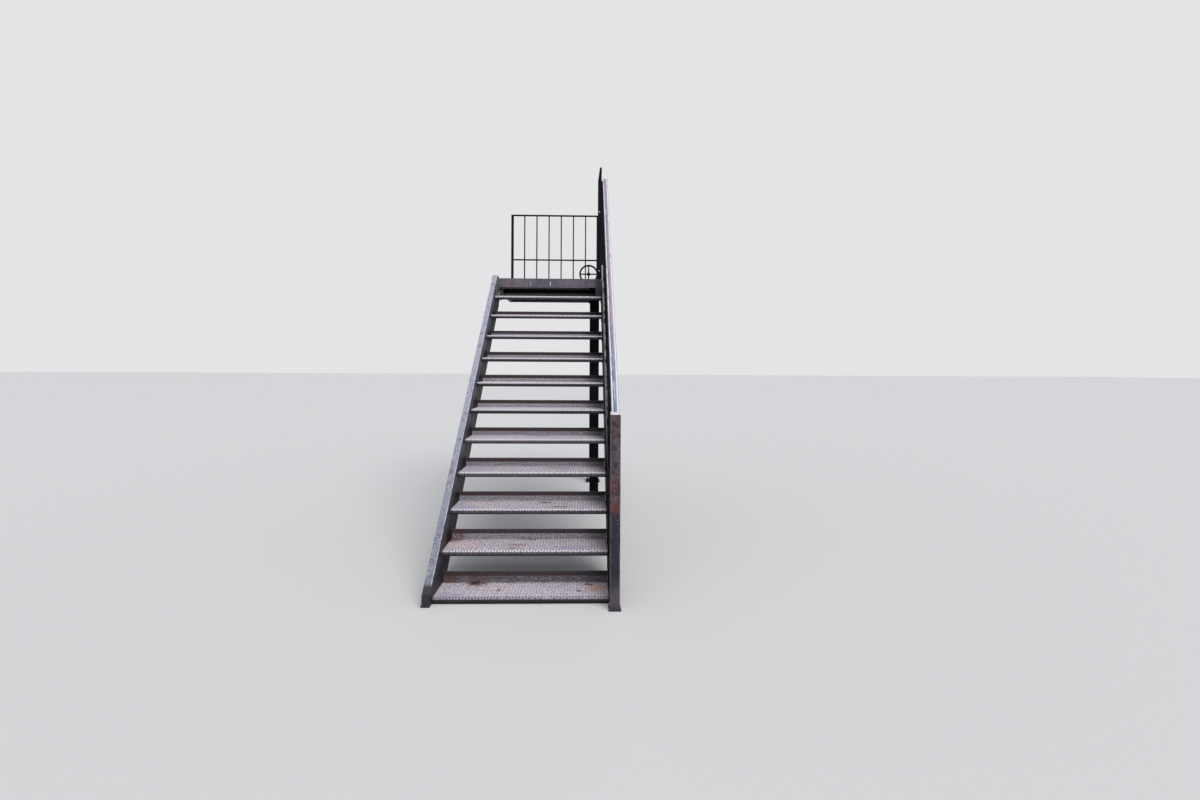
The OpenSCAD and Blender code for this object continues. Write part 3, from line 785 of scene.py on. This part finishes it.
# %% Give every solid its finish
finish_groups = [
    (left_channel_paint, "left_stringer"),
    (right_channel_paint, "right_stringer"),
    (carrier_paint, "left_tread_angles right_tread_angles"),
    (left_head_paint, "left_head_plate"),
    (right_head_paint, "right_head_angle"),
    (joist_paint_and_shade, "wall_ledger landing_joists"),
    (landing_paint, "landing_front_channel landing_rear_channel landing_right_channel"),
    (deck_finish, "landing_deck"),
    (post_paint, "front_post rear_post post_top_plates"),
    (plate_paint, "left_foot_plate right_foot_plate front_post_base rear_post_base newel_base"),
    (newel_paint, "lower_newel"),
    (cap_paint, "newel_cap"),
    (handrail_paint, "stair_handrail"),
    (stair_guard_paint, "stair_guard"),
    (guard_paint, "upper_newel corner_newel wall_newel guard_link guard_ring "
                  "landing_side_guard landing_end_guard"),
]
finish_groups += [(tread_finishes[i], f"tread_{i:02d}") for i in tread_finishes]
solid_finishes = {name: finish for finish, names in finish_groups for name in names.split()}
for name, finish in solid_finishes.items():
    solid = nodes[name]
    if not solid.material_slots:
        solid.data.materials.append(finish)
    for slot in solid.material_slots:
        slot.material = finish
print("solids without a finish:", sorted(set(nodes) - set(solid_finishes)))

# %% [markdown]
# ## Chequer lugs
# The lugs are rolled into the plate before it is folded, so they run over the
# nosing as well, which gives the front edge its rope-like look. A bump in the
# finish would not show there, so they are real. A lug is a low lens. All lugs
# of a tread are one mesh: their centres lie on a grid of the distance along
# the fold and across the stair, and each one points along the grid's
# diagonal, the other way from its neighbours.

# %% The lugs' pattern
lug_across = 0.01625
lug_along = 0.0193
lug_length = 0.0200
lug_width = 0.0056
lug_height = 0.0011
lug_sunk = 0.0004
lug_corners = 8
lug_rings = [(1.0, 1.0, -lug_sunk), (0.88, 0.78, 0.7 * lug_height), (0.60, 0.36, lug_height)]
lug_angle = math.atan2(lug_across, lug_along)


def lug_shape():
    """Rings of a lens, (along, across, up): (L/2 cos t, w/2 sin t |sin t|^0.3) at its
    foot, and smaller ones above."""
    t = np.arange(lug_corners) * 2 * np.pi / lug_corners
    along = np.cos(t) * lug_length / 2
    across = np.sin(t) * np.abs(np.sin(t)) ** 0.3 * lug_width / 2
    return np.concatenate([np.stack([along * a, across * b, np.full(lug_corners, h)], 1)
                           for a, b, h in lug_rings])


def lug_field(across_from, across_to, along_from, along_to, first=None):
    """Points (lug, corner, [along, across, up]) of a chequer field on a flat sheet.

    The rows are centred on the sheet, or start with their centre at first."""
    nx = int((across_to - across_from - lug_across) / lug_across) + 1
    ns = max(int((along_to - along_from - lug_along) / lug_along) + 1, 1)
    x0 = (across_from + across_to - (nx - 1) * lug_across) / 2
    s0 = (along_from + along_to - (ns - 1) * lug_along) / 2 if first is None else first
    i, j = np.meshgrid(np.arange(nx), np.arange(ns), indexing="ij")
    centre_x, centre_s = (x0 + i * lug_across).ravel(), (s0 + j * lug_along).ravel()
    side = np.where((i + j) % 2 == 0, 1, -1).ravel() * lug_angle
    shape = lug_shape()
    c, s = np.cos(side)[:, None], np.sin(side)[:, None]
    along = centre_s[:, None] + shape[:, 0] * c - shape[:, 1] * s
    across = centre_x[:, None] + shape[:, 0] * s + shape[:, 1] * c
    up = np.broadcast_to(shape[:, 2], along.shape)
    return np.stack([along, across, up], -1)


print("points in a lug:", len(lug_shape()))

# %% [markdown]
# ## Lugs on the fold
# The flat field is carried over the tread's section: up the lip, round the
# bend and along the plate. Bending the finished mesh with a modifier would
# squash the lugs there, while the formula keeps them square to the sheet.

# %% Lugs on the treads and on the deck
edge_gap = 0.002
upstand_foot = 0.022
bend_start = lip_h - nosing_r
bend_length = nosing_r * np.pi / 2


def fold(along, up):
    """Carries a flat sheet over the tread's fold: lip upwards, quarter round, then level.

    along is measured from the lip's lower edge, up is square to the sheet."""
    a = np.clip((along - bend_start) / nosing_r, 0, np.pi / 2)
    y = nosing_r - nosing_r * np.cos(a) + np.maximum(along - bend_start - bend_length, 0)
    z = -nosing_r + nosing_r * np.sin(a) + np.minimum(along - bend_start, 0)
    return y - np.cos(a) * up, z + np.sin(a) * up


def lug_mesh(field, x, y, z):
    """The lugs of a field, once its points' places on the stair are known."""
    each = len(lug_rings) * lug_corners
    top = np.arange(lug_corners) + each - lug_corners
    ends = np.stack([np.arange(lug_corners)[::-1], top])
    sides = grid_faces(len(lug_rings), lug_corners)
    return make_mesh("lugs", np.stack([x, y, z], -1), repeat_faces(sides, len(field), each),
                     repeat_faces(ends, len(field), each))


tread_field = lug_field(edge_gap, high[0] - low[0] - edge_gap, 0.0,
                        bend_start + bend_length + tread_depth - upstand_foot,
                        first=bend_start + bend_length / 2 - lug_along)
along, across, up = np.moveaxis(tread_field, -1, 0)
for i in range(1, tread_count + 1):
    x0, y0, z0 = nose(i)
    y, z = fold(along, up)
    add_piece(f"tread_{i:02d}_lugs", lug_mesh(tread_field, x0 + across, y0 + y, z0 + z),
              tread_finishes[i])

deck_margin = 0.010
guard_strip = 0.045
rear_strip = 0.040
deck_field = lug_field(left_web + deck_margin, deck_high[0] - guard_strip,
                       front_y + deck_margin, back_y - rear_strip)
along, across, up = np.moveaxis(deck_field, -1, 0)
add_piece("landing_deck_lugs", lug_mesh(deck_field, across, along, deck_z + up), deck_finish)

# %% [markdown]
# ## Weld beads
# Nothing in such a stair is screwed together where it can be welded. A bead
# is a thin round bar laid into a corner. It swells once every few
# millimetres, where the arc paused, and tapers at both ends. A curve with
# a bevel could not swell like that, so one function sweeps a ring along any
# line of corners, open or closed.

# %% A bead along a line
def bead(corners, radius=0.003, closed=False, up=(0, 0, 1), sides=6, step=0.0013,
         scales=0.0046, swell=0.2):
    """Point (i, j) = path(s_i) + r(s_i) (cos a_j across + sin a_j over), where
    r(s) = radius (1 + swell sin(2 pi s / scales)), tapered at open ends."""
    corners = np.asarray(corners, float)
    if closed:
        corners = np.vstack([corners, corners[:1]])
    steps = np.linalg.norm(np.diff(corners, axis=0), axis=1)
    reach = np.concatenate([[0], np.cumsum(steps)])
    count = max(int(reach[-1] / step), 6)
    s = np.linspace(0, reach[-1], count, endpoint=not closed)
    path = np.stack([np.interp(s, reach, corners[:, k]) for k in range(3)], 1)
    if closed:
        tangent = np.roll(path, -1, 0) - np.roll(path, 1, 0)
    else:
        tangent = np.gradient(path, axis=0)
    tangent /= np.linalg.norm(tangent, axis=1, keepdims=True)
    across = np.cross(tangent, np.array(up, float))
    across /= np.linalg.norm(across, axis=1, keepdims=True)
    over = np.cross(tangent, across)
    r = radius * (1 + swell * np.sin(2 * np.pi * s / scales))
    if not closed:
        r *= np.sqrt(np.clip(np.minimum(s, reach[-1] - s) / radius + 0.08, 0.08, 1))
    a = np.arange(sides)[None, :, None] * 2 * np.pi / sides
    ring = np.cos(a) * across[:, None] + np.sin(a) * over[:, None]
    points = (path[:, None] + r[:, None, None] * ring).reshape(-1, 3)
    last = (count - 1) * sides
    ends = np.stack([np.arange(sides)[::-1], last + np.arange(sides)])
    return points, grid_faces(count, sides, closed=closed), ends[:0] if closed else ends


def square_loop(x, y, z, half, rise_of=lambda y: 0.0):
    """Corners of a square round an upright bar, on a face that may slope along Y."""
    signs = [(-1, -1), (1, -1), (1, 1), (-1, 1)]
    return [(x + a * half, y + b * half, z + rise_of(b * half)) for a, b in signs]


def add_welds(name, beads, finish):
    add_piece(name, join("welds", beads), finish, smooth=True)


print("points in a bead of 100 mm:", len(bead([(0, 0, 0), (0.1, 0, 0)])[0]))

# %% [markdown]
# ## Welds of the flight and the landing
# The angles under the treads are welded to the webs, the joists to the side
# channels, and the landing's channels to each other at their mitred corners.

# %% Beads of the treads' angles and of the landing's frame
carrier_leg = 0.025
web_weld_r = 0.0028
weld_from, weld_short = 0.018, 0.004
beads = []
for i in range(1, tread_count + 1):
    _, y, z = nose(i)
    z -= tread_t + carrier_leg
    for x in (left_web + 0.0015, right_web - 0.0015):
        beads.append(bead([(x, y + weld_from, z), (x, y + tread_depth - weld_short, z)],
                          web_weld_r))
add_welds("tread_angle_welds", beads, carrier_paint)

frame_half = 0.035
frame_t = 0.006
joist_half = 0.0195
joist_weld_half = 0.021
mitre_weld_r = 0.0026
post_low, post_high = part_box("front_post")
post_ys = [sum(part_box(n)[k][1] for k in (0, 1)) / 2 for n in ("front_post", "rear_post")]
post_x = (post_low[0] + post_high[0]) / 2
post_half = (post_high[0] - post_low[0]) / 2
joist_ys = [post_ys[0], sum(post_ys) / 2, post_ys[1]]


def upright_bead(x, y, half, radius):
    return bead([(x, y, -half), (x, y, half)], radius, up=(0, 1, 0))


beads = [upright_bead(x, y - joist_half, joist_weld_half, web_weld_r) for y in joist_ys
         for x in (frame_t + 0.001, right_web - frame_t - 0.001)]
beads += [upright_bead(right_web - 0.001, y, frame_half, mitre_weld_r)
          for y in (front_y + 0.001, back_y - 0.0035)]
add_welds("landing_frame_welds", beads, landing_paint)

# %% [markdown]
# ## Welds of the posts and the newel
# A square tube is run round with one bead where it meets a plate.

# %% Beads of the posts and of the lower newel
base_t = 0.010
base_top = ground_z + base_t
post_weld_r = 0.0034
newel_half = (newel_high[0] - newel_low[0]) / 2
beads = [bead(square_loop(post_x, y, z, post_half + 0.0006), post_weld_r, closed=True)
         for y in post_ys for z in (base_top + 0.0008, post_high[2] - 0.0008)]
add_welds("post_welds", beads, post_paint)

beads = [bead(square_loop(newel_mid[0], newel_mid[1], newel_low[2] + 0.0006,
                          newel_half + 0.0004), web_weld_r, closed=True)]
add_welds("newel_weld", beads, newel_paint)

# %% [markdown]
# ## Collars of weld round the pickets
# Every picket is set on its rails and run round with one short bead. Seen
# from the foot these collars thicken the crossings a little. On the stair
# guard they lie on sloping rails, so their corners follow the slope.

# %% Beads of the stair's guard
guard_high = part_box("stair_guard")[1]
picket_pitch = 0.130
picket_half = 0.006
stanchion_half = 0.0125
lower_rail_up = 0.070
rail_half_t = 0.005
rail_h = 1.016
handrail_h = 0.022
long_picket_every = 5
head_y = guard_high[1] - stanchion_half
picket_count = int((head_y - foot_y - picket_pitch / 2) / picket_pitch)


def collar(x, y, z, rise_of=lambda y: 0.0):
    """A bead round a picket where it meets a rail."""
    return bead(square_loop(x, y, z, picket_half + 0.0003, rise_of), 0.0019, closed=True,
                scales=0.0035)


beads = []
for k in range(1, picket_count + 1):
    y = head_y - k * picket_pitch
    upper_mid = deck_z + (y - front_y) * slope + rail_h - steep(handrail_h + rail_half_t)
    heights = [stringer_top(y) + lower_rail_up + steep(rail_half_t),
               upper_mid - steep(rail_half_t)]
    if k % long_picket_every == 0:
        heights.append(stringer_top(y) + 0.0005)
    beads += [collar(rail_mid_x, y, z, lambda along: along * slope) for z in heights]
add_welds("stair_guard_welds", beads, stair_guard_paint)

# %% Beads of the landing's guards
bottom_rail_up = 0.125
end_pitch_most = 0.134
side_pickets = 8
side_low, side_high = (np.array(c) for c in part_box("landing_side_guard"))
side_x = (side_low[0] + side_high[0]) / 2
corner_mid, wall_mid = (sum(np.array(c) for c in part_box(n)) / 2
                        for n in ("corner_newel", "wall_newel"))
rail_faces = (deck_z + bottom_rail_up + rail_half_t, side_high[2] - 2 * rail_half_t)
span = corner_mid[0] - wall_mid[0]
end_count = math.ceil(span / end_pitch_most)
spots = [(side_x, corner_mid[1] - k * picket_pitch) for k in range(1, side_pickets + 1)]
spots += [(wall_mid[0] + k * span / end_count, corner_mid[1]) for k in range(1, end_count)]
beads = [collar(x, y, z) for x, y in spots for z in rail_faces]
beads += [bead(square_loop(mid[0], mid[1], deck_z + 0.0006, stanchion_half + 0.0003), 0.0024,
               closed=True) for mid in (corner_mid, wall_mid)]
add_welds("landing_guard_welds", beads, guard_paint)

# %% [markdown]
# ## Anchors and bolts
# The ledger hangs on four anchors that pass through its web. The posts and
# the stringers' feet stand on plates with anchors too. Each shows a washer, a
# six-sided nut and a threaded end. They are turned shapes, made from one
# profile; where its third column is 1 the ring is six-sided.

# %% A turned shape and its copies
def turned(profile, sides=24):
    """Point (i, j) = (r_i cos a_j, r_i sin a_j, h_i). Where hexagonal, r_i is times
    cos 30 / cos(a_j mod 60 - 30)."""
    profile = np.asarray(profile, float)
    a = np.arange(sides) * 2 * np.pi / sides
    six = math.cos(np.pi / 6) / np.cos(a % (np.pi / 3) - np.pi / 6)
    r = profile[:, :1] * (1 + profile[:, 2:] * (six - 1))
    heights = np.broadcast_to(profile[:, 1:2], r.shape)
    rings = np.stack([r * np.cos(a), r * np.sin(a), heights], -1)
    poles = np.array([[0, 0, profile[0, 1]], [0, 0, profile[-1, 1]]])
    points = np.concatenate([rings.reshape(-1, 3), poles])
    j = np.arange(sides)
    last = (len(profile) - 1) * sides
    fans = np.concatenate([
        np.stack([np.full(sides, len(points) - 2), (j + 1) % sides, j], 1),
        np.stack([np.full(sides, len(points) - 1), last + j, last + (j + 1) % sides], 1)])
    return points, grid_faces(len(profile), sides), fans


def thread(radius, from_h, to_h, pitch=0.0018):
    """Rows of a profile that go in and out once every pitch."""
    h = np.arange(from_h, to_h, pitch / 2)
    return [(radius * (1.0 if k % 2 else 0.9), v, 0) for k, v in enumerate(h)]


def anchor_profile(bolt_r):
    """Washer, nut and threaded end of an anchor of the given radius, from the plate out."""
    washer, nut = 2.1 * bolt_r, 1.85 * bolt_r
    return [(washer, 0, 0), (washer, 0.0016, 0), (nut * 0.96, 0.0017, 1), (nut, 0.0022, 1),
            (nut, 0.0017 + 1.4 * bolt_r, 1), (nut * 0.86, 0.0022 + 1.6 * bolt_r, 0),
            *thread(bolt_r, 0.0024 + 1.6 * bolt_r, 0.0024 + 2.6 * bolt_r),
            (bolt_r * 0.8, 0.0026 + 2.7 * bolt_r, 0)]


def set_on(part, places, normal=(0, 0, 1)):
    """Copies of a turned part with its axis along normal, each turned a little further."""
    points, quads, fans = part
    base = np.array(Vector(normal).to_track_quat("Z", "Y").to_matrix())
    spins = [np.array(Matrix.Rotation(0.7 * k, 3, "Z")) for k in range(len(places))]
    return [(points @ spin.T @ base.T + np.array(place), quads, fans)
            for spin, place in zip(spins, places)]


print("points in a threaded anchor:", len(turned(anchor_profile(0.0062))[0]))

# %% Anchors of the ledger, the posts and the feet
ledger_pitch = 0.240
base_plate = 0.150
hole_inset = 0.020
base_hole = (base_plate - 2 * hole_inset) / 2
foot_plate_t = 0.008
foot_flange_from, foot_flange_to = 0.005, 0.040
foot_hole_x = (foot_flange_from + foot_flange_to) / 2
foot_hole_run = 0.160
foot_hole_half = 0.050
thick_anchor = turned(anchor_profile(0.0062))
thin_anchor = turned(anchor_profile(0.0048))

places = [(frame_t, k * ledger_pitch, 0) for k in (-1.5, -0.5, 0.5, 1.5)]
add_piece("ledger_anchors", join("anchors", set_on(thick_anchor, places, (1, 0, 0))),
          bare_zinc)

places = [(post_x + a * base_hole, y + b * base_hole, base_top)
          for y in post_ys for a in (-1, 1) for b in (-1, 1)]
add_piece("post_anchors", join("anchors", set_on(thick_anchor, places)), plate_paint)

places = [(x, foot_y + foot_hole_run + b * foot_hole_half, ground_z + foot_plate_t)
          for x in (left_web - foot_hole_x, right_web + foot_hole_x) for b in (-1, 1)]
add_piece("foot_anchors", join("anchors", set_on(thin_anchor, places)), plate_paint)

# %% [markdown]
# ## Bolts at the stair's head
# Two bolts tie each head plate to its stringer, and the upper newel has two
# small domed bolts whose zinc still shines. These are heads only, so their
# profile is a washer and a nut without a thread.

# %% Bolts at the head
head_t = 0.005
bolt_head = turned([(0.0110, 0, 0), (0.0110, 0.0014, 0), (0.0086, 0.0015, 1),
                    (0.0088, 0.0019, 1), (0.0088, 0.0058, 1), (0.0078, 0.0066, 0)])
bolt_spots = [(front_y - 0.068, -0.075), (front_y - 0.032, -0.030)]
copies = set_on(bolt_head, [(left_web + head_t, y, z) for y, z in bolt_spots], (1, 0, 0))
copies += set_on(bolt_head, [(right_web - head_t, y, z) for y, z in bolt_spots], (-1, 0, 0))
add_piece("head_bolts", join("bolts", copies), right_head_paint)

dome = turned([(0.0066, 0, 0), (0.0066, 0.0008, 0), (0.0056, 0.0026, 0), (0.0030, 0.0040, 0)])
newel_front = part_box("upper_newel")[0][1]
places = [(right_web - 0.020, newel_front, z) for z in (0.114, 0.640)]
add_piece("upper_newel_bolts", join("bolts", set_on(dome, places, (0, -1, 0))), bare_zinc,
          smooth=True)

# %% [markdown]
# ## Floor and light
# The stair is lit from above, as outdoors. One broad soft sun stands over the
# foot of the stair, and a plain pale surrounding fills the rest. What the
# camera sees behind the stair is a pale tone of its own, so the light on the
# steel stays moderate.

# %% Floor
floor_half = 120.0
floor_lines = 25
u = np.linspace(-floor_half, floor_half, floor_lines)
fx, fy = np.meshgrid(u, u, indexing="xy")
floor_points = np.stack([fx, fy, np.full_like(fx, ground_z)], -1)
floor_faces = grid_faces(floor_lines, floor_lines, wrap=False)
floor = bpy.data.objects.new("floor", make_mesh("floor", floor_points, floor_faces))
scene.collection.objects.link(floor)
floor_finish = Finish("floor_finish", 0.05)
floor_finish.colour = tone(214, 213, 212)
floor.data.materials.append(floor_finish.done(1.0))
print("floor", 2 * floor_half, "m wide")

# %% Surroundings and sun
world = bpy.data.worlds.new("pale_surroundings")
world.use_nodes = True
scene.world = world
tree = world.node_tree
tree.nodes.clear()
kinds = "Background Background LightPath Math MixShader OutputWorld".split()
seen, lit, path, pick, mixer, out = (tree.nodes.new("ShaderNode" + k) for k in kinds)
seen.inputs[0].default_value = tone(228, 228, 230)
lit.inputs[0].default_value = tone(236, 240, 248)
lit.inputs[1].default_value = 0.55
pick.operation = "MAXIMUM"
for start, end in (
    (path.outputs["Is Camera Ray"], pick.inputs[0]),
    (path.outputs["Is Transmission Ray"], pick.inputs[1]),
    (pick.outputs[0], mixer.inputs[0]),
    (lit.outputs[0], mixer.inputs[1]),
    (seen.outputs[0], mixer.inputs[2]),
    (mixer.outputs[0], out.inputs[0]),
):
    tree.links.new(start, end)

sky_data = bpy.data.lights.new("sky_strip", "SUN")
sky_data.angle = math.radians(50)
sky_data.energy = 2.2
sky = bpy.data.objects.new("sky_strip", sky_data)
sky.rotation_mode = "QUATERNION"
sky.rotation_quaternion = Vector((0.27, -0.58, 0.77)).to_track_quat("Z", "Y")
scene.collection.objects.link(sky)

# %% [markdown]
# ## Finish
